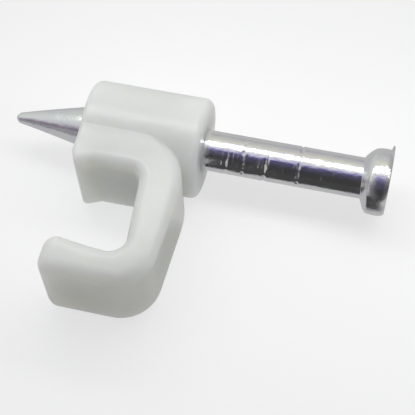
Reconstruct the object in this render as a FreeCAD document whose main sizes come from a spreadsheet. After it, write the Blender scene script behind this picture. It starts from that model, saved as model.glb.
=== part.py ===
"""Nail-in cable clip: a moulded clip body with a boss and a hook, and the nail that it carries.

Millimetres. +X runs along the nail, from its point to its head. The wall plane is X = 0, and the
origin is where the nail's axis meets it. The hook hangs towards -Y, and the cable runs along Z.
"""
import FreeCAD
import Part
import Sketcher
import os

SIZES = {
    # The nail: a round wire with a cone point, a curved flare under the head and a plain rim
    "shank_radius": 1.0,
    "nail_length": 18.82,
    "point_reach": 3.9,
    "point_length": 3.0,
    "point_tip_radius": 0.23,
    "point_tip_round": 0.1,
    "head_radius": 1.64,
    "head_root_radius": 1.61,
    "head_rim_width": 0.88,
    "head_edge_round": 0.1,
    "flare_length": 0.47,
    "flare_curve_radius": 1.3,
    # The boss round the nail
    "boss_radius": 2.48,
    "boss_length": 5.85,
    "boss_wall_end_round": 0.25,
    "boss_head_end_round": 0.38,
    "bore_clearance": 0.03,
    "bore_lead_in": 0.12,
    # The hook: ceiling, arm and lip, each side face a little inside the boss's radius
    "hook_side_inset": 0.38,
    "shoulder_drop": 0.2,
    "ceiling_drop": 3.02,
    "slot_height": 4.3,
    "slot_depth_top": 3.45,
    "slot_depth_bottom": 3.82,
    "arm_wall_top": 2.2,
    "arm_wall_bottom": 1.42,
    "lip_wall": 1.7,
    "lip_setback": 0.13,
    "lip_tip_rise": 0.4,
    "lip_cradle_radius": 15.0,
    # The small nib under the boss that keeps a cable from slipping out
    "nib_height": 0.36,
    "nib_setback": 0.34,
    "nib_length": 1.2,
    "nib_root_drop": 2.6,
    # The hollow blend from the boss down into each side face
    "blend_drop": 0.9,
    "blend_length": 1.08,
    "blend_sink": 0.03,
    # How far the outline that trims the hook reaches past it
    "trim_margin": 1.0,
    # The hook's rounds
    "shoulder_radius": 3.4,
    "heel_radius": 1.92,
    "ceiling_corner_radius": 0.5,
    "nib_root_round": 0.8,
    "lip_root_radius": 0.75,
    "lip_end_radius": 0.64,
    "edge_round": 0.6,
    # A round takes at most this share of the wall it lies on
    "round_share": 0.45,
}

TOLERANCE = 1e-4
FULL_TURN = 360

# Sides that an arc of an outline bulges to, seen along the way that the outline runs
LEFT = 1
RIGHT = -1

doc = FreeCAD.newDocument("NailInCableClip")


def make_sheet():
    """The spreadsheet that holds every size under its alias."""
    sheet = doc.addObject("Spreadsheet::Sheet", "Sizes")
    for row, (alias, value) in enumerate(SIZES.items(), start=1):
        sheet.set(f"A{row}", alias)
        sheet.set(f"B{row}", str(value))
        sheet.setAlias(f"B{row}", alias)
    doc.recompute()
    return sheet


sizes = make_sheet()


def measure(formula):
    """The number that a formula of sheet values comes to."""
    return float(sizes.evalExpression(formula))


def make_body(name):
    """An empty body whose label is the sub-part's name."""
    body = doc.addObject("PartDesign::Body", name)
    body.Label = name
    return body


def origin_plane(body, role):
    """One of a body's own origin planes."""
    return next(item for item in body.Origin.OriginFeatures if item.Role == role)


def add_sketch(body, name, role):
    """An empty sketch on one of the body's origin planes."""
    sketch = body.newObject("Sketcher::SketchObject", name)
    sketch.AttachmentSupport = [(origin_plane(body, role), "")]
    sketch.MapMode = "FlatFace"
    return sketch


def tie(sketch, name, constraint, formula):
    """Add a dimension to a sketch and bind it to a formula of sheet values."""
    index = sketch.addConstraint(constraint)
    sketch.renameConstraint(index, name)
    sketch.setExpression(f".Constraints.{name}", formula)


def at(corner):
    """The place of a corner (name, x formula, y formula) in its sketch."""
    return FreeCAD.Vector(measure(corner[1]), measure(corner[2]), 0)


def bulged_arc(start, end, radius, side):
    """The short arc from start to end that bulges to one side of the way it runs."""
    chord = end - start
    half = chord.Length / 2
    left = FreeCAD.Vector(-chord.y, chord.x, 0).normalize()
    sagitta = radius - (radius ** 2 - half ** 2) ** 0.5
    return Part.Arc(start, (start + end) / 2 + left * sagitta * side, end)


def draw_outline(sketch, corners, curves):
    """A closed outline through named corners, straight except for the arcs that curves lists.

    curves maps the name of the corner that an arc starts from to its radius and its side.
    """
    ends = []
    for index, corner in enumerate(corners):
        start, end = at(corner), at(corners[(index + 1) % len(corners)])
        radius, side = curves.get(corner[0], (None, RIGHT))
        if radius:
            sketch.addGeometry(bulged_arc(start, end, measure(radius), side), False)
        else:
            sketch.addGeometry(Part.LineSegment(start, end), False)
        # The ends of an arc count anticlockwise, so one that bulges left starts at its second
        ends.append((1, 2) if side == RIGHT else (2, 1))
    for index, corner in enumerate(corners):
        name, across, up = corner
        near = ends[index][0]
        tie(sketch, f"{name}_x", Sketcher.Constraint("DistanceX", index, near, measure(across)), across)
        tie(sketch, f"{name}_y", Sketcher.Constraint("DistanceY", index, near, measure(up)), up)
        if name in curves:
            radius = curves[name][0]
            tie(sketch, f"{name}_radius", Sketcher.Constraint("Radius", index, measure(radius)), radius)
        before = index - 1 if index else len(corners) - 1
        sketch.addConstraint(Sketcher.Constraint("Coincident", before, ends[before][1], index, near))


def revolve(body, name, sketch):
    """A full turn of a sketch about the nail's axis."""
    feature = body.newObject("PartDesign::Revolution", name)
    feature.Profile = sketch
    feature.ReferenceAxis = (sketch, ["H_Axis"])
    feature.Angle = FULL_TURN
    doc.recompute()


def dress_edges(body, kind, name, edges, size, formula):
    """A fillet or a chamfer on edges of the body's last feature, with its size bound to a formula."""
    base = body.Tip
    feature = body.newObject(f"PartDesign::{kind}", name)
    feature.Base = (base, edges)
    feature.setExpression(size, formula)
    doc.recompute()


def round_edges(body, name, edges, radius):
    """A fillet on edges of the body's last feature."""
    dress_edges(body, "Fillet", name, edges, "Radius", radius)


def edges_where(body, test):
    """Names of the edges of the body's last feature that pass a test."""
    return [f"Edge{index}" for index, edge in enumerate(body.Tip.Shape.Edges, start=1) if test(edge)]


def ring_edges(body, along, radius):
    """The circles about the nail's axis at one place along it, with one radius."""
    def is_ring(edge):
        box = edge.BoundBox
        flat = box.XLength < TOLERANCE and abs(box.XMin - along) < TOLERANCE
        return flat and isinstance(edge.Curve, Part.Circle) and abs(edge.Curve.Radius - radius) < TOLERANCE
    return edges_where(body, is_ring)


def upright_edges(body, corners):
    """The edges along Z that stand at the given corners of the hook's outline."""
    places = [at(corner) for corner in corners]

    def stands_there(edge):
        box = edge.BoundBox
        if box.XLength > TOLERANCE or box.YLength > TOLERANCE:
            return False
        return any(abs(box.XMin - place.x) + abs(box.YMin - place.y) < TOLERANCE for place in places)
    return edges_where(body, stands_there)


def side_edges(body, at_wall):
    """The edges round the hook's side faces: those at the wall down to the nib, or all the others."""
    side = measure(HOOK_SIDE)
    seams = [measure(BLEND_TOP), measure(BLEND_FOOT)]
    nib_tip = measure("Sizes.nib_setback")
    slot = measure(LIP_INNER)

    def bounds_side(edge):
        box = edge.BoundBox
        beside = box.ZMin > side - TOLERANCE or box.ZMax < TOLERANCE - side
        seam = box.YLength < TOLERANCE and any(abs(box.YMin - level) < TOLERANCE for level in seams)
        near_wall = box.XMax < nib_tip + TOLERANCE and box.YMin > slot
        return beside and not seam and near_wall == at_wall
    return edges_where(body, bounds_side)


# Formulas that several outlines and rounds share
HOOK_TOP = "-Sizes.shoulder_drop"
HOOK_SIDE = "(Sizes.boss_radius - Sizes.hook_side_inset)"
BLEND_TOP = "-Sizes.blend_drop"
BLEND_FOOT = "-(Sizes.blend_drop + Sizes.blend_length)"
BLEND_TOP_SIDE = "(sqrt(Sizes.boss_radius ^ 2 - Sizes.blend_drop ^ 2) - Sizes.blend_sink)"
BLEND_RISE = f"({BLEND_TOP_SIDE} - {HOOK_SIDE})"
BLEND_RADIUS = f"(Sizes.blend_length ^ 2 + {BLEND_RISE} ^ 2) / (2 * {BLEND_RISE})"
CEILING = "-Sizes.ceiling_drop"
LIP_INNER = "-(Sizes.ceiling_drop + Sizes.slot_height)"
LIP_OUTER = "-(Sizes.ceiling_drop + Sizes.slot_height + Sizes.lip_wall)"
BORE_RADIUS = "Sizes.shank_radius + Sizes.bore_clearance"
POINT_TIP = "-Sizes.point_reach"
HEAD_FACE = "Sizes.nail_length - Sizes.point_reach"
RIM_START = "Sizes.nail_length - Sizes.point_reach - Sizes.head_rim_width"

# Corners of the hook's outline, from the boss round the arm and the lip and back
SHOULDER = ("shoulder", "Sizes.slot_depth_top + Sizes.arm_wall_top", HOOK_TOP)
HEEL = ("heel", "Sizes.slot_depth_bottom + Sizes.arm_wall_bottom", LIP_OUTER)
LIP_END_OUTER = ("lip_end_outer", "Sizes.lip_setback", LIP_OUTER)
LIP_END_INNER = ("lip_end_inner", "Sizes.lip_setback", LIP_INNER + " + Sizes.lip_tip_rise")
LIP_ROOT = ("lip_root", "Sizes.slot_depth_bottom", LIP_INNER)
CEILING_CORNER = ("ceiling_corner", "Sizes.slot_depth_top", CEILING)
NIB_ROOT = ("nib_root", "0", "-Sizes.nib_root_drop")
HOOK_OUTLINE = [
    ("wall_top", "0", HOOK_TOP),
    SHOULDER,
    HEEL,
    LIP_END_OUTER,
    LIP_END_INNER,
    LIP_ROOT,
    CEILING_CORNER,
    ("nib_foot", "Sizes.nib_length", CEILING),
    ("nib_tip", "Sizes.nib_setback", CEILING + " - Sizes.nib_height"),
    NIB_ROOT,
]
HOOK_CURVES = {"lip_end_inner": ("Sizes.lip_cradle_radius", RIGHT)}

# What is trimmed off the hook, seen along the nail: all round its section, from the lip's foot up one
# side, over the top inside the boss, and down the other side
TRIM_TOP = "Sizes.trim_margin"
TRIM_FOOT = LIP_OUTER + " - Sizes.trim_margin"
TRIM_SIDE = "(Sizes.boss_radius + Sizes.trim_margin)"
TRIM_OUTLINE = [
    ("front_foot", TRIM_FOOT, HOOK_SIDE),
    ("front_blend_foot", BLEND_FOOT, HOOK_SIDE),
    ("front_blend_top", BLEND_TOP, BLEND_TOP_SIDE),
    ("back_blend_top", BLEND_TOP, "-" + BLEND_TOP_SIDE),
    ("back_blend_foot", BLEND_FOOT, "-" + HOOK_SIDE),
    ("back_foot", TRIM_FOOT, "-" + HOOK_SIDE),
    ("back_outer_foot", TRIM_FOOT, "-" + TRIM_SIDE),
    ("back_outer_top", TRIM_TOP, "-" + TRIM_SIDE),
    ("front_outer_top", TRIM_TOP, TRIM_SIDE),
    ("front_outer_foot", TRIM_FOOT, TRIM_SIDE),
]
TRIM_CURVES = {
    "front_blend_foot": (BLEND_RADIUS, RIGHT),
    "back_blend_top": (BLEND_RADIUS, RIGHT),
}

# Half section of the boss above the nail's axis, with the round of each end as an arc
BOSS_OUTLINE = [
    ("axis_wall_end", "0", "0"),
    ("wall_round_start", "0", "Sizes.boss_radius - Sizes.boss_wall_end_round"),
    ("wall_round_end", "Sizes.boss_wall_end_round", "Sizes.boss_radius"),
    ("head_round_start", "Sizes.boss_length - Sizes.boss_head_end_round", "Sizes.boss_radius"),
    ("head_round_end", "Sizes.boss_length", "Sizes.boss_radius - Sizes.boss_head_end_round"),
    ("axis_head_end", "Sizes.boss_length", "0"),
]
BOSS_ROUNDS = {
    "wall_round_start": ("Sizes.boss_wall_end_round", LEFT),
    "head_round_start": ("Sizes.boss_head_end_round", LEFT),
}

# Half section of the nail above its axis
NAIL_OUTLINE = [
    ("axis_tip", POINT_TIP, "0"),
    ("tip", POINT_TIP, "Sizes.point_tip_radius"),
    ("point_base", POINT_TIP + " + Sizes.point_length", "Sizes.shank_radius"),
    ("flare_start", RIM_START + " - Sizes.flare_length", "Sizes.shank_radius"),
    ("rim_start", RIM_START, "Sizes.head_root_radius"),
    ("rim_end", HEAD_FACE, "Sizes.head_radius"),
    ("axis_head", HEAD_FACE, "0"),
]
NAIL_CURVES = {"flare_start": ("Sizes.flare_curve_radius", LEFT)}


def cut_through(body, name, sketch):
    """Cut a sketch on the YZ plane out of the body, all along the nail."""
    before = body.Shape.Volume
    pocket = body.newObject("PartDesign::Pocket", name)
    pocket.Profile = sketch
    pocket.Type = "ThroughAll"
    pocket.Reversed = True
    doc.recompute()
    if body.Shape.Volume > before - TOLERANCE:
        raise RuntimeError(f"{name} cuts nothing")


def make_hook(body):
    """The hook: a slab along the cable, trimmed to its section, with rounded corners and soft edges."""
    sketch = add_sketch(body, "HookOutline", "XY_Plane")
    draw_outline(sketch, HOOK_OUTLINE, HOOK_CURVES)
    slab = body.newObject("PartDesign::Pad", "Hook")
    slab.Profile = sketch
    slab.Midplane = True
    slab.setExpression("Length", "2 * Sizes.boss_radius")
    doc.recompute()

    corner_rounds = [
        ("ShoulderRound", [SHOULDER], "Sizes.shoulder_radius"),
        ("HeelRound", [HEEL], "Sizes.heel_radius"),
        ("CeilingCornerRound", [CEILING_CORNER], "Sizes.ceiling_corner_radius"),
        ("NibRootRound", [NIB_ROOT], "Sizes.nib_root_round"),
        ("LipRootRound", [LIP_ROOT], "Sizes.lip_root_radius"),
        ("LipEndRound", [LIP_END_OUTER, LIP_END_INNER],
         "min(Sizes.lip_end_radius; Sizes.round_share * (Sizes.lip_wall + Sizes.lip_tip_rise))"),
    ]
    for name, corners, radius in corner_rounds:
        round_edges(body, name, upright_edges(body, corners), radius)

    section = add_sketch(body, "HookSection", "YZ_Plane")
    draw_outline(section, TRIM_OUTLINE, TRIM_CURVES)
    cut_through(body, "HookTrim", section)
    round_edges(body, "SideEdges", side_edges(body, at_wall=False),
                "min(Sizes.edge_round; Sizes.round_share * Sizes.arm_wall_bottom)")
    round_edges(body, "WallEdges", side_edges(body, at_wall=True), "Sizes.boss_wall_end_round")


def make_boss(body):
    """The round boss with softened ends, and the bore that the nail slides in."""
    outline = add_sketch(body, "BossOutline", "XY_Plane")
    draw_outline(outline, BOSS_OUTLINE, BOSS_ROUNDS)
    revolve(body, "Boss", outline)

    ring = add_sketch(body, "BoreCircle", "YZ_Plane")
    circle = Part.Circle(FreeCAD.Vector(), FreeCAD.Vector(0, 0, 1), measure(BORE_RADIUS))
    ring.addGeometry(circle, False)
    ring.addConstraint(Sketcher.Constraint("Coincident", 0, 3, -1, 1))
    tie(ring, "bore_radius", Sketcher.Constraint("Radius", 0, measure(BORE_RADIUS)), BORE_RADIUS)
    cut_through(body, "Bore", ring)

    mouth = ring_edges(body, measure("Sizes.boss_length"), measure(BORE_RADIUS))
    dress_edges(body, "Chamfer", "BoreLeadIn", mouth, "Size", "Sizes.bore_lead_in")


def make_clip_body():
    """The moulded clip: boss and hook in one piece."""
    body = make_body("clip_body")
    make_hook(body)
    make_boss(body)
    return body


def make_nail():
    """The nail, turned about its axis."""
    body = make_body("nail")
    outline = add_sketch(body, "NailOutline", "XY_Plane")
    draw_outline(outline, NAIL_OUTLINE, NAIL_CURVES)
    revolve(body, "NailTurned", outline)
    round_edges(body, "TipRound", ring_edges(body, measure(POINT_TIP), measure("Sizes.point_tip_radius")),
                "min(Sizes.point_tip_round; Sizes.round_share * Sizes.point_tip_radius)")
    round_edges(body, "HeadEdgeRound", ring_edges(body, measure(HEAD_FACE), measure("Sizes.head_radius")),
                "min(Sizes.head_edge_round; Sizes.round_share * Sizes.head_rim_width)")
    return body


def check_document(parts):
    """Stop if any feature failed or any sub-part has no valid solid."""
    failed = [item.Name for item in doc.Objects if {"Invalid", "Error"} & set(item.State)]
    if failed:
        raise RuntimeError(f"features failed: {failed}")
    for part in parts:
        if part.Shape.isNull() or not part.Shape.isValid() or len(part.Shape.Solids) != 1:
            raise RuntimeError(f"{part.Label} is not one valid solid")


def export(parts):
    """Write each sub-part to a file with its own name."""
    os.makedirs("parts", exist_ok=True)
    for part in parts:
        part.Shape.exportStep(f"parts/{part.Label}.step")
        print(part.Label, "volume", round(part.Shape.Volume, 3), "box", part.Shape.BoundBox)


sub_parts = [make_clip_body(), make_nail()]
doc.recompute()
check_document(sub_parts)
export(sub_parts)
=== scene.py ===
"""Looks of the nail-in cable clip: milky satin moulding, bright zinc-plated nail, pale floor, soft light.

Lengths are in millimetres in the part's frame, and angles round the nail in degrees, counted from
straight up (+Z) towards the hook (-Y).
"""

import math

import bpy
from mathutils import Euler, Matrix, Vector, noise


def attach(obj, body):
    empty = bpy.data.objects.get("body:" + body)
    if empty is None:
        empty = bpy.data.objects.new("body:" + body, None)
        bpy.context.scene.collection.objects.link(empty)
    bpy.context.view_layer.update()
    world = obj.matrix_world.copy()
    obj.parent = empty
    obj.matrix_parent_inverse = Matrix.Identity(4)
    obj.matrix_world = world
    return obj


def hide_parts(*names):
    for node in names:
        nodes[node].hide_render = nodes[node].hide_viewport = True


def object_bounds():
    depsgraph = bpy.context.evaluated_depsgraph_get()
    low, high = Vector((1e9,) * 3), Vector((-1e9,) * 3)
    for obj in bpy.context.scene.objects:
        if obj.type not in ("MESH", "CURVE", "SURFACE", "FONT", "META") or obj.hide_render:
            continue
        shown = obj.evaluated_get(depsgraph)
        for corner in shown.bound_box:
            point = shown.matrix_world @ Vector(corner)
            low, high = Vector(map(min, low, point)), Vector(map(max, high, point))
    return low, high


MM = 0.001
WHITE = (1, 1, 1, 1)

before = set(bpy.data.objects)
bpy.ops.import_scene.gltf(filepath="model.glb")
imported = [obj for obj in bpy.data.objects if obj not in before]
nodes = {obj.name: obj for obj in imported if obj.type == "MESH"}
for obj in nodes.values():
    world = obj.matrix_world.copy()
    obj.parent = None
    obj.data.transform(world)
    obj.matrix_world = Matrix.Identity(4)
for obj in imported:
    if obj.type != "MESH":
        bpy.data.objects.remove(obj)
cad_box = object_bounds()


# Node helpers
def add(tree, kind, **values):
    """A node whose properties or input sockets are set by name."""
    node = tree.nodes.new(kind)
    for key, value in values.items():
        if hasattr(node, key):
            setattr(node, key, value)
        else:
            node.inputs[key.replace("_", " ")].default_value = value
    return node


def new_material(name):
    """A node material with a Principled shader wired to its output."""
    material = bpy.data.materials.new(name)
    material.use_nodes = True
    tree = material.node_tree
    return material, tree, tree.nodes["Principled BSDF"]


def split_place(tree, kind):
    """The place on the object, or the direction in the room, as its X, Y and Z parts."""
    place = add(tree, "ShaderNodeTexCoord")
    parts = add(tree, "ShaderNodeSeparateXYZ")
    tree.links.new(place.outputs[kind], parts.inputs[0])
    return parts.outputs


def noise_field(tree, stretch, scale, detail, roughness=0.5):
    """Noise over the object's own millimetres, its frequency multiplied by three factors along the axes."""
    place = add(tree, "ShaderNodeTexCoord")
    mapping = add(tree, "ShaderNodeMapping", Scale=[factor / MM for factor in stretch])
    field = add(tree, "ShaderNodeTexNoise", Scale=scale, Detail=detail, Roughness=roughness)
    tree.links.new(place.outputs["Object"], mapping.inputs["Vector"])
    tree.links.new(mapping.outputs["Vector"], field.inputs["Vector"])
    return field.outputs["Fac"]


def spread(tree, value, levels, start, end):
    """The first level where the value is at its start, the second at its end, and an even change between."""
    node = add(tree, "ShaderNodeMapRange", From_Min=start, From_Max=end, To_Min=levels[0], To_Max=levels[1])
    tree.links.new(value, node.inputs["Value"])
    return node.outputs["Result"]


def tint(tree, value, colors, start=0.3, end=0.7):
    """A noise value turned into a colour between two."""
    ramp = add(tree, "ShaderNodeValToRGB")
    for element, position, color in zip(ramp.color_ramp.elements, (start, end), colors):
        element.position = position
        element.color = (*color, 1)
    tree.links.new(value, ramp.inputs[0])
    return ramp.outputs["Color"]


def combine(tree, operation, first, second):
    """Two values put together by one rule of the Math node."""
    node = add(tree, "ShaderNodeMath", operation=operation)
    tree.links.new(first, node.inputs[0])
    tree.links.new(second, node.inputs[1])
    return node.outputs[0]


def relief(tree, shader, layers):
    """Fine bumps laid one over the other, each a height field with its strength and its depth."""
    normal = None
    for height, strength, depth in layers:
        node = add(tree, "ShaderNodeBump", Strength=strength, Distance=depth * MM)
        tree.links.new(height, node.inputs["Height"])
        if normal is not None:
            tree.links.new(normal, node.inputs["Normal"])
        normal = node.outputs["Normal"]
    tree.links.new(normal, shader.inputs["Normal"])


def either(tree, choice, first, second):
    """The first shader where the choice is zero, and the second where it is one."""
    node = add(tree, "ShaderNodeMixShader")
    for index, source in enumerate((choice, first, second)):
        tree.links.new(source, node.inputs[index])
    return node.outputs[0]


def lit_surface(tree, grey, glow):
    """A matt grey that also glows by itself, and the node that makes its glow."""
    matt = add(tree, "ShaderNodeBsdfDiffuse", Color=(grey, grey, grey, 1))
    shine = add(tree, "ShaderNodeEmission", Color=WHITE, Strength=glow)
    both = add(tree, "ShaderNodeAddShader")
    tree.links.new(matt.outputs[0], both.inputs[0])
    tree.links.new(shine.outputs[0], both.inputs[1])
    return both.outputs[0], shine


# The clip's plastic
PLASTIC_COLORS = ((0.685, 0.705, 0.675), (0.735, 0.755, 0.735))
PLASTIC_ROUGHNESS = 0.3
# How far light passes into the plastic, and the share of that for red, green and blue
LIGHT_DEPTH = 3.0
LIGHT_SHARES = (1.0, 0.9, 0.75)
# Strength and depth of the shallow sink marks and of the mould's grain
SINK_RELIEF = (0.5, 0.05)
GRAIN_RELIEF = (0.12, 0.01)


def plastic():
    """Milky satin plastic: light passes some way into it, and its colour is cloudy.

    The moulding has shallow sink marks, and the mould leaves a fine grain.
    """
    material, tree, shader = new_material("clip_plastic_look")
    cloud = noise_field(tree, stretch=(1, 1, 1), scale=0.35, detail=4.0)
    sink = noise_field(tree, stretch=(0.8, 1, 1), scale=1.3, detail=3.0)
    grain = noise_field(tree, stretch=(1, 1, 1), scale=9.0, detail=5.0, roughness=0.6)
    tree.links.new(tint(tree, cloud, PLASTIC_COLORS), shader.inputs["Base Color"])
    shader.inputs["Roughness"].default_value = PLASTIC_ROUGHNESS
    shader.inputs["Subsurface Weight"].default_value = 1.0
    shader.inputs["Subsurface Radius"].default_value = LIGHT_SHARES
    shader.inputs["Subsurface Scale"].default_value = LIGHT_DEPTH * MM
    relief(tree, shader, ((sink, *SINK_RELIEF), (grain, *GRAIN_RELIEF)))
    return material


# The nail's zinc plate
ZINC_COLORS = ((0.80, 0.79, 0.86), (0.86, 0.87, 0.85))
# Roughness of bright and dull patches, and the noise values between which one turns into the other
PATCH_ROUGHNESS = (0.06, 0.24)
PATCH_BRIGHT_TO, PATCH_DULL_FROM = 0.42, 0.68
# The pressed point and the forged head are duller than the drawn shank
POINT_DULLNESS = 0.10
POINT_DULL_TO, POINT_BRIGHT_FROM = -0.8, 0.2
HEAD_DULLNESS = 0.08
HEAD_BRIGHT_TO, HEAD_DULL_FROM = 13.4, 14.0
# Strength and depth of the flecks and of the lines that drawing leaves
FLECK_RELIEF = (0.5, 0.03)
LINE_RELIEF = (0.5, 0.004)


def zinc():
    """Bright zinc plate over drawn wire: lengthwise drawing marks, a faint tinted film and dull patches."""
    material, tree, shader = new_material("nail_zinc_look")
    film = noise_field(tree, stretch=(0.5, 1, 1), scale=1.1, detail=3.0)
    patches = noise_field(tree, stretch=(1, 1, 1), scale=1.6, detail=4.0)
    flecks = noise_field(tree, stretch=(0.6, 1, 1), scale=4.0, detail=4.0, roughness=0.6)
    lines = noise_field(tree, stretch=(0.06, 1, 1), scale=9.0, detail=4.0)
    tree.links.new(tint(tree, film, ZINC_COLORS), shader.inputs["Base Color"])
    along = split_place(tree, "Object")["X"]
    dull_point = spread(tree, along, (POINT_DULLNESS, 0), POINT_DULL_TO * MM, POINT_BRIGHT_FROM * MM)
    dull_head = spread(tree, along, (0, HEAD_DULLNESS), HEAD_BRIGHT_TO * MM, HEAD_DULL_FROM * MM)
    rough = spread(tree, patches, PATCH_ROUGHNESS, PATCH_BRIGHT_TO, PATCH_DULL_FROM)
    for extra in (dull_point, dull_head):
        rough = combine(tree, "ADD", rough, extra)
    tree.links.new(rough, shader.inputs["Roughness"])
    shader.inputs["Metallic"].default_value = 1.0
    relief(tree, shader, ((flecks, *FLECK_RELIEF), (lines, *LINE_RELIEF)))
    return material


# The nail: turned like the solid, with the marks that the heading machine leaves
SHANK_RADIUS = 1.0
TIP_RADIUS = 0.23
TIP_ROUNDING = 0.6
POINT_LENGTH = 3.7
HEAD_RADIUS = 1.64
HEAD_CROWN = 0.05
HEAD_EDGE = 0.30
HEAD_EDGE_DROP = 0.10
RIM_LENGTH = 0.82
FLARE_LENGTH = 0.49
FLARE_LEAN = 0.05
FLARE_FULLNESS = 1.6
FACE_HOLLOW = 0.015

# How far the tip bends and the head sits off the axis, and the side they move to
TIP_BEND = 0.08
HEAD_SHIFT = 0.04
LOW_SIDE = 121

# The burr that the heading dies leave on the rim, with its half width in degrees round the nail
BURR_ANGLE = -59
BURR_HEIGHT = 0.27
BURR_WIDTH = 9
BURR_LENGTH = 0.2
BURR_RISE_END = 0.4
BURR_FACE = 0.02
BURR_FACE_SHARE = 0.8

# The point is pinched wider on the burr's side, up to the bore's wall end
POINT_BULGE = 0.10
BULGE_FULL_TO, BULGE_END = -0.6, 0.05

# Unevenness: its height, how fine it is along and round the nail, and where on the noise it begins
WAVE = (0.003, 1.1, 1.3, 0)
RIPPLE = (0.0035, 2.6, 3.6, 4)
DENT = (0.02, 1.5, 1.6, 9)
# How far past the flare's start the dents begin, and where they are full
DENTS_FROM, DENTS_FULL = 0.3, 0.8

# Marks of the gripping jaws: place along the nail, half width, depth, and the arc that they cover
GRIP_MARKS = [
    (7.05, 0.07, 0.024, 20, 150),
    (7.33, 0.03, 0.012, -80, 60),
    (7.85, 0.08, 0.028, -60, 140),
    (8.15, 0.03, 0.012, -90, 50),
    (8.93, 0.10, 0.040, 20, 170),
    (9.10, 0.03, 0.014, -110, 80),
    (9.80, 0.04, 0.006, -40, 80),
    (10.55, 0.08, 0.032, -120, 170),
    (11.65, 0.04, 0.006, -60, 100),
    (12.20, 0.04, 0.005, -20, 120),
]
# How many half widths a mark reaches, and where the ridges beside it stand and how high
MARK_REACH = 5
RIDGE_PLACE = 2
RIDGE_SHARE = 0.35
# Degrees over which a mark fades before and past the end of its arc
FADE_BEFORE, FADE_PAST = 40, 10
# A mark is pressed unevenly: the middle, the swing and the limits of its share
PRESS_MIDDLE = 0.55
PRESS_SWING = 1.3
PRESS_LEAST, PRESS_MOST = 0.05, 1.5
# A mark also wanders along the nail by this much
WANDER = 0.05
# Both follow noise: the arc and the frequency along the nail of its patches, and its step from mark to mark
PRESS_ARC = 14
PRESS_FINENESS = 3
PRESS_STEP = 7
WANDER_ARC = 25
WANDER_STEP = 5
WANDER_LAYER = 4

# The mesh: points in a ring, the stretches of even spacing, and the rings on the head's face
NAIL_SIDES = 128
TIP_FINE = 0.3
BORE_START, BORE_END = 0.1, 5.6
FACE_GAP = 0.002
FACE_SCALES = (0.97, 0.9, 0.8, 0.65, 0.5, 0.35, 0.2, 0.08)


def smooth(low, high, value):
    """Zero below low, one above high, and an even rise between."""
    share = min(max((value - low) / (high - low), 0), 1)
    return share * share * (3 - 2 * share)


def from_angle(angle, other):
    """Degrees between two angles round the nail."""
    return abs((angle - other + 180) % 360 - 180)


def grip_depth(x, angle):
    """How far the jaws' marks press the shank in at one place."""
    depth = 0
    for place, width, press, start, end in GRIP_MARKS:
        if abs(x - place) > MARK_REACH * width:
            continue
        arc = (end - start) / 2
        cover = 1 - smooth(arc - FADE_BEFORE, arc + FADE_PAST, from_angle(angle, (start + end) / 2))
        uneven = noise.noise(Vector((angle / PRESS_ARC, place * PRESS_STEP, x * PRESS_FINENESS)))
        cover *= min(max(PRESS_MIDDLE + PRESS_SWING * uneven, PRESS_LEAST), PRESS_MOST)
        wander = WANDER * noise.noise(Vector((angle / WANDER_ARC, place * WANDER_STEP, WANDER_LAYER)))
        offset = (x - place - wander) / width
        shape = math.exp(-offset ** 2) - RIDGE_SHARE * math.exp(-(abs(offset) - RIDGE_PLACE) ** 2)
        depth += press * cover * shape
    return depth


def point_bulge(x, angle, tip):
    """How far the pinched point is wider than a true cone on one side, up to the bore."""
    along = max(x - tip, 0) / POINT_LENGTH * (1 - smooth(BULGE_FULL_TO, BULGE_END, x))
    return POINT_BULGE * along * max(math.cos(math.radians(angle - BURR_ANGLE)), 0) ** 2


def nail_radius(x, angle, tip, face):
    """The nail's radius at a place along it and an angle round it."""
    lean = math.cos(math.radians(angle - BURR_ANGLE))
    rim_start = face - RIM_LENGTH + FLARE_LEAN * lean
    flare_start = face - RIM_LENGTH - FLARE_LENGTH - FLARE_LEAN * lean
    flare_end_radius = HEAD_RADIUS - HEAD_CROWN
    if x < tip + POINT_LENGTH:
        radius = TIP_RADIUS + (SHANK_RADIUS - TIP_RADIUS) * (x - tip) / POINT_LENGTH
        short = max(1 - (x - tip) / TIP_RADIUS, 0)
        radius -= TIP_ROUNDING * TIP_RADIUS * short ** 2
        return radius + point_bulge(x, angle, tip)
    if x < flare_start:
        return SHANK_RADIUS + point_bulge(x, angle, tip) - grip_depth(x, angle)
    if x < rim_start:
        share = (x - flare_start) / (rim_start - flare_start)
        return SHANK_RADIUS + (flare_end_radius - SHANK_RADIUS) * (1 - (1 - share) ** FLARE_FULLNESS)
    share = (x - rim_start) / (face - rim_start)
    radius = HEAD_RADIUS - HEAD_CROWN * (2 * share - 1) ** 2
    short = max(1 - (face - x) / HEAD_EDGE, 0)
    radius -= HEAD_EDGE_DROP * (1 - math.sqrt(1 - short ** 2))
    burr = BURR_FACE_SHARE
    if x < face - BURR_FACE:
        burr = smooth(BURR_LENGTH, BURR_RISE_END * BURR_LENGTH, face - x)
    turn = from_angle(angle, BURR_ANGLE) / BURR_WIDTH
    return radius + BURR_HEIGHT * burr * math.exp(-turn ** 2)


def unevenness(kind, x, turn):
    """How far one kind of unevenness lifts the surface at one place."""
    height, along, around, start = kind
    place = Vector((x * along + start, around * math.cos(turn), around * math.sin(turn)))
    return height * noise.noise(place)


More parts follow.
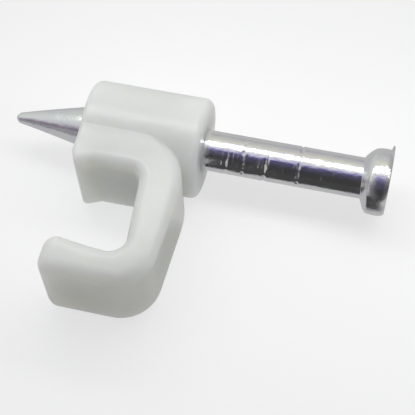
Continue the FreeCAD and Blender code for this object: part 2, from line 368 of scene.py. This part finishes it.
def nail_ring(x, tip, face, head, scale=1.0, level=None):
    """The points of one ring, at its own radius or, on the head's face, at a share of it and a set level."""
    height = x if level is None else level
    toward_tip = max(tip + POINT_LENGTH - x, 0) / POINT_LENGTH
    shift = TIP_BEND * toward_tip ** 2 + HEAD_SHIFT * smooth(head, head + FLARE_LENGTH, x)
    low = math.radians(LOW_SIDE)
    points = []
    for index in range(NAIL_SIDES):
        angle = 360 * index / NAIL_SIDES
        turn = math.radians(angle)
        radius = nail_radius(x, angle, tip, face)
        radius += unevenness(WAVE, x, turn) + unevenness(RIPPLE, x, turn)
        radius += unevenness(DENT, x, turn) * smooth(head + DENTS_FROM, head + DENTS_FULL, x)
        radius *= scale
        points.append((height * MM,
                       (-radius * math.sin(turn) - shift * math.sin(low)) * MM,
                       (radius * math.cos(turn) + shift * math.cos(low)) * MM))
    return points


def spaced(start, end, step):
    """Places from start up to end, about one step apart and without the end."""
    count = max(round((end - start) / step), 1)
    return [start + (end - start) * index / count for index in range(count)]


def ring_faces(rings):
    """Four-sided faces between neighbouring rings, and one face at either end."""
    faces = []
    for ring in range(rings - 1):
        for index in range(NAIL_SIDES):
            near = ring * NAIL_SIDES + index
            far = ring * NAIL_SIDES + (index + 1) % NAIL_SIDES
            faces.append((near, far, far + NAIL_SIDES, near + NAIL_SIDES))
    faces.append(tuple(reversed(range(NAIL_SIDES))))
    faces.append(tuple(range((rings - 1) * NAIL_SIDES, rings * NAIL_SIDES)))
    return faces


def build_nail():
    """A lathed mesh of the nail, bent, dented and pressed a little."""
    node = nodes["nail"]
    ends = [(node.matrix_world @ Vector(corner)).x / MM for corner in node.bound_box]
    tip, face = min(ends), max(ends)
    head = face - RIM_LENGTH - FLARE_LENGTH - FLARE_LEAN
    # Rings lie closest where the shape changes quickly, and widest inside the bore
    stretches = (
        (tip, tip + TIP_FINE, 0.02),
        (tip + TIP_FINE, BORE_START, 0.05),
        (BORE_START, BORE_END, 0.25),
        (BORE_END, head, 0.03),
        (head, face - HEAD_EDGE, 0.03),
        (face - HEAD_EDGE, face - FACE_GAP, 0.012),
    )
    places = [x for start, end, step in stretches for x in spaced(start, end, step)]
    vertices = []
    for x in places:
        vertices += nail_ring(x, tip, face, head)
    last = places[-1]
    for scale in FACE_SCALES:
        vertices += nail_ring(last, tip, face, head, scale, last - FACE_HOLLOW * (1 - scale) ** 2)
    mesh = bpy.data.meshes.new("nail_lathed")
    mesh.from_pydata(vertices, [], ring_faces(len(places) + len(FACE_SCALES)))
    mesh.shade_smooth()
    nail = bpy.data.objects.new("nail_lathed", mesh)
    bpy.context.scene.collection.objects.link(nail)
    nail.data.materials.append(zinc())
    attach(nail, "driven_nail")
    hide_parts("nail")


def dress_clip():
    """The clip keeps its solid's mesh and gets the plastic."""
    clip = nodes["clip_body"]
    clip.data.materials.clear()
    clip.data.materials.append(plastic())


# The floor
FLOOR_HALF = 600
# As the camera sees it: its grey, its own glow near and far, and where the glow rises to the far one
SEEN_GREY = 0.42
SEEN_GLOWS = (0.6, 0.85)
GLOW_NEAR, GLOW_FAR = 30, 150
# As it lights the part
BOUNCE_GREY = 0.8
BOUNCE_GLOW = 0.3
# Painted reflection for the nail, seen by glossy rays only: the floor glows dim in front of the nail, and
# pale under it and towards its ends
PAINTED_REFLECTION_LEVELS = (0.06, 0.52)
DIM_TO, PALE_FROM = -3.6, -2.7
TOWARD_ENDS = ((0.5, -2.0), (14, 18))
# Far in front of the nail the painted reflection towards its ends is dim as well
REACH_END, REACH_FULL = -25, -12


def painted_floor_reflection(tree):
    """A painted reflection: the floor's own glow as glossy rays see it, dim in front of the nail and pale
    under it and towards its ends.
    """
    parts = split_place(tree, "Object")
    reach = spread(tree, parts["Y"], (0, 1), REACH_END * MM, REACH_FULL * MM)
    pale = spread(tree, parts["Y"], (0, 1), DIM_TO * MM, PALE_FROM * MM)
    for start, end in TOWARD_ENDS:
        beside = combine(tree, "MULTIPLY", spread(tree, parts["X"], (0, 1), start * MM, end * MM), reach)
        pale = combine(tree, "MAXIMUM", pale, beside)
    # The glow of the painted reflection, from dim to pale
    reflection_glow = add(tree, "ShaderNodeEmission", Color=WHITE)
    tree.links.new(spread(tree, pale, PAINTED_REFLECTION_LEVELS, 0, 1), reflection_glow.inputs["Strength"])
    return reflection_glow.outputs[0]


def floor_look():
    """A pale matt floor that fades into the white behind it far from the part, with a painted reflection
    that only the nail sees.
    """
    material, tree, shader = new_material("floor_look")
    tree.nodes.remove(shader)
    seen, glow = lit_surface(tree, SEEN_GREY, SEEN_GLOWS[0])
    spot = add(tree, "ShaderNodeTexCoord")
    distance = add(tree, "ShaderNodeVectorMath", operation="LENGTH")
    tree.links.new(spot.outputs["Object"], distance.inputs[0])
    far = spread(tree, distance.outputs["Value"], SEEN_GLOWS, GLOW_NEAR * MM, GLOW_FAR * MM)
    tree.links.new(far, glow.inputs["Strength"])
    bounce = lit_surface(tree, BOUNCE_GREY, BOUNCE_GLOW)[0]
    path = add(tree, "ShaderNodeLightPath")
    # Glossy rays see the painted reflection; other rays that are not the camera's see the floor that lights
    # the part
    unseen = either(tree, path.outputs["Is Glossy Ray"], bounce, painted_floor_reflection(tree))
    surface = either(tree, path.outputs["Is Camera Ray"], unseen, seen)
    tree.links.new(surface, tree.nodes["Material Output"].inputs["Surface"])
    return material


def add_floor():
    """A square floor at the part's lowest level."""
    half = FLOOR_HALF * MM
    level = cad_box[0].z
    corners = [(-half, -half, level), (half, -half, level), (half, half, level), (-half, half, level)]
    mesh = bpy.data.meshes.new("floor")
    mesh.from_pydata(corners, [], [(0, 1, 2, 3)])
    floor = bpy.data.objects.new("floor", mesh)
    bpy.context.scene.collection.objects.link(floor)
    floor.data.materials.append(floor_look())


# Brightness of the room by the angle past straight up towards -Y, in its middle and to either side
ROOM_STRENGTH = 4
ROOM_ANGLES = (-100, -82, -74, -66, -50, -40, -26, -20, -2, 4, 12, 20, 28, 60, 95)
ROOM_MIDDLE = (0.52, 0.52, 0.40, 0.54, 0.58, 0.62, 0.76, 0.8, 0.8, 0.8, 0.75, 0.42, 0.11, 0.05, 0.05)
ROOM_LEFT = (0.66, 0.66, 0.66, 0.66, 0.66, 0.7, 0.74, 0.74, 0.74, 0.74, 0.72, 0.7, 0.64, 0.16, 0.55)
ROOM_RIGHT = (0.4, 0.4, 0.4, 0.4, 0.4, 0.4, 0.4, 0.4, 0.4, 0.4, 0.35, 0.3, 0.2, 0.08, 0.12)
# How far along X a direction has to point for the room's side to begin, and to be all that shows
LEFT_START, LEFT_FULL = -0.15, -0.6
RIGHT_START, RIGHT_FULL = 0.15, 0.6
# In the middle the bright part ends in a violet edge in front and in a yellow one behind
MIDDLE_TINTS = {20: (0.85, 0.78, 1.5), 28: (0.85, 0.8, 1.5), -40: (1.12, 1.08, 0.85)}
# The left side is faintly green, with a purple band low in front
LEFT_GREEN = (0.94, 0.99, 0.93)
LEFT_GREEN_TO = 12
LEFT_TINTS = {angle: LEFT_GREEN for angle in ROOM_ANGLES if angle <= LEFT_GREEN_TO}
LEFT_TINTS.update({20: (0.94, 0.96, 1.02), 60: (1.15, 0.85, 1.2), 95: (0.96, 1.02, 0.98)})
PLAIN = (1, 1, 1)


def room_color(tree, share, levels, tints):
    """The colour of one side of the room, by the angle as a share of a full turn."""
    ramp = add(tree, "ShaderNodeValToRGB")
    while len(ramp.color_ramp.elements) < len(levels):
        ramp.color_ramp.elements.new(0.5)
    for element, angle, level in zip(ramp.color_ramp.elements, ROOM_ANGLES, levels):
        element.position = (angle + 180) / 360
        element.color = (*(part * level / ROOM_STRENGTH for part in tints.get(angle, PLAIN)), 1)
    tree.links.new(share, ramp.inputs[0])
    return ramp.outputs["Color"]


def light_world():
    """Soft room light, and white where the camera sees it."""
    world = bpy.data.worlds.new("studio")
    bpy.context.scene.world = world
    world.use_nodes = True
    tree = world.node_tree
    tree.nodes.clear()
    output = add(tree, "ShaderNodeOutputWorld")
    parts = split_place(tree, "Generated")
    front = add(tree, "ShaderNodeMath", operation="MULTIPLY")
    front.inputs[1].default_value = -1
    tree.links.new(parts["Y"], front.inputs[0])
    turn = combine(tree, "ARCTAN2", front.outputs[0], parts["Z"])
    share = spread(tree, turn, (0, 1), -math.pi, math.pi)
    color = room_color(tree, share, ROOM_MIDDLE, MIDDLE_TINTS)
    for levels, tints, start, full in ((ROOM_LEFT, LEFT_TINTS, LEFT_START, LEFT_FULL),
                                       (ROOM_RIGHT, {}, RIGHT_START, RIGHT_FULL)):
        blend = add(tree, "ShaderNodeMix", data_type="RGBA")
        tree.links.new(spread(tree, parts["X"], (0, 1), start, full), blend.inputs["Factor"])
        tree.links.new(color, blend.inputs["A"])
        tree.links.new(room_color(tree, share, levels, tints), blend.inputs["B"])
        color = blend.outputs["Result"]
    room = add(tree, "ShaderNodeBackground", Strength=ROOM_STRENGTH)
    white = add(tree, "ShaderNodeBackground", Color=WHITE, Strength=1.0)
    path = add(tree, "ShaderNodeLightPath")
    tree.links.new(color, room.inputs["Color"])
    surface = either(tree, path.outputs["Is Camera Ray"], room.outputs[0], white.outputs[0])
    tree.links.new(surface, output.inputs["Surface"])


def add_lamp(name, angle, across, along, radiance, distance, aim):
    """A soft box over the part, its angle counted from straight up towards -Y."""
    lamp = bpy.data.lights.new(name, "AREA")
    lamp.shape = "RECTANGLE"
    lamp.size = along * MM
    lamp.size_y = across * MM
    lamp.energy = radiance * math.pi * along * across * MM ** 2
    obj = bpy.data.objects.new(name, lamp)
    bpy.context.scene.collection.objects.link(obj)
    turn = math.radians(angle)
    away = Vector((0, -math.sin(turn), math.cos(turn)))
    obj.location = (Vector(aim) + away * distance) * MM
    obj.visible_camera = False
    obj.rotation_mode = "QUATERNION"
    obj.rotation_quaternion = away.to_track_quat("Z", "Y")


# The photograph's view, fitted to the part's outline, with the camera's turn in degrees about X, Y and Z
CAMERA_PLACE = (13.6694, -28.0525, 43.5856)
CAMERA_TURN = (30.6048, 1.4766, 13.1995)
SENSOR_WIDTH = 36
FOCAL_LENGTH = 92.1906
CLIP_START, CLIP_END = 5, 5000


def add_camera():
    """The camera at the photograph's view."""
    data = bpy.data.cameras.new("camera")
    data.sensor_width = SENSOR_WIDTH
    data.lens = FOCAL_LENGTH
    data.clip_start = CLIP_START * MM
    data.clip_end = CLIP_END * MM
    obj = bpy.data.objects.new("camera", data)
    bpy.context.scene.collection.objects.link(obj)
    obj.location = Vector(CAMERA_PLACE) * MM
    obj.rotation_euler = Euler([math.radians(part) for part in CAMERA_TURN])
    bpy.context.scene.camera = obj


dress_clip()
build_nail()
add_floor()
light_world()
add_lamp("strip", angle=-9, across=4.7, along=42, radiance=3.4, distance=16, aim=(12, 0, 0))
add_camera()

scene = bpy.context.scene
scene.view_settings.view_transform = "Standard"
